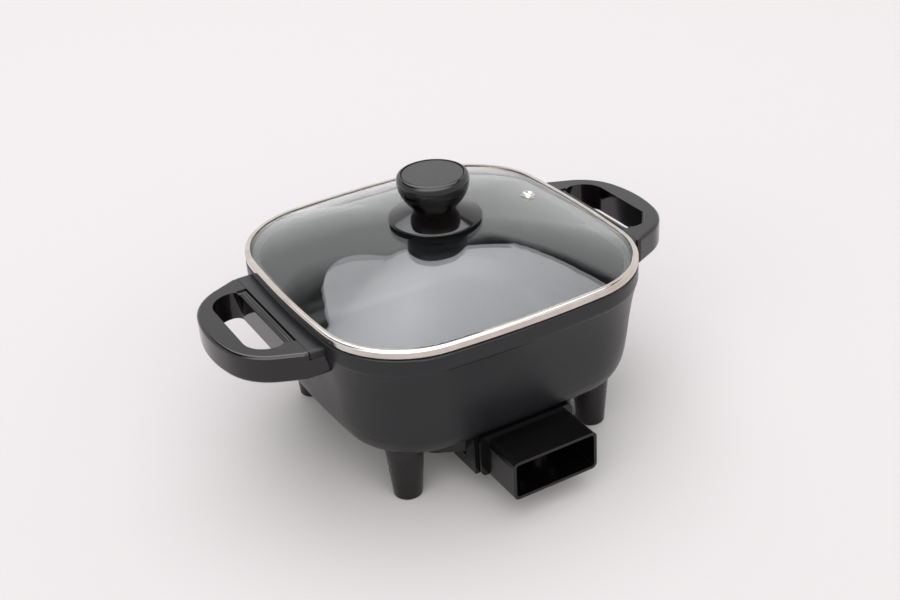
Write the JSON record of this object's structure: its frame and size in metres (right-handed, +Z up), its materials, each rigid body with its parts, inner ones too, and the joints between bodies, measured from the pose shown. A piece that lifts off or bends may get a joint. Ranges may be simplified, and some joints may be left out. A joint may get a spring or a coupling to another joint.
{
  "type": "electric skillet",
  "caption": "Square electric skillet: deep cast pan on legs, side loop handles, heat-control socket and lift-off domed glass lid with a round knob.",
  "frame": {"origin": "on the table under the middle of the pan", "axes": "+Z up, -Y out of the heat-control socket, +X towards the right handle"},
  "size_m": [0.348, 0.2638, 0.1894],
  "materials": {
    "pan_coating": "satin black non-stick coating on cast aluminium",
    "black_plastic": "glossy black phenolic moulding",
    "knob_cap": "satin black inlaid disc",
    "glass": "clear tempered glass",
    "steel": "polished stainless sheet",
    "plated_steel": "plated steel",
    "bead": "white glazed ceramic",
    "seal": "black silicone",
    "brass": "machined brass"
  },
  "bodies": {
    "pan": {"pan_body": "pan_coating", "heating_element": "steel", "terminal_pin_left": "plated_steel", "terminal_pin_right": "plated_steel", "pin_insulator_left": "bead", "pin_insulator_right": "bead", "handle_right": "black_plastic", "handle_left": "black_plastic", "leg_front_right": "black_plastic", "leg_front_left": "black_plastic", "leg_rear_left": "black_plastic", "leg_rear_right": "black_plastic", "probe_shroud": "black_plastic", "leg_screws": "plated_steel", "shroud_screws": "plated_steel", "handle_screws_right": "plated_steel", "handle_screws_left": "plated_steel"},
    "lid": {"lid_rim_band": "steel", "lid_glass": "glass", "vent_grommet": "steel", "knob_gasket": "seal", "knob_skirt": "black_plastic", "lid_knob": "black_plastic", "knob_cap": "knob_cap", "knob_insert": "brass", "knob_seal": "seal", "knob_washer": "plated_steel", "knob_screw": "plated_steel"}
  },
  "joints": [
    {"name": "lid_lift", "type": "slide", "parent": "pan", "child": "lid", "axis": [0, 0, 1], "range_m": [0, 0.15]}
  ]
}
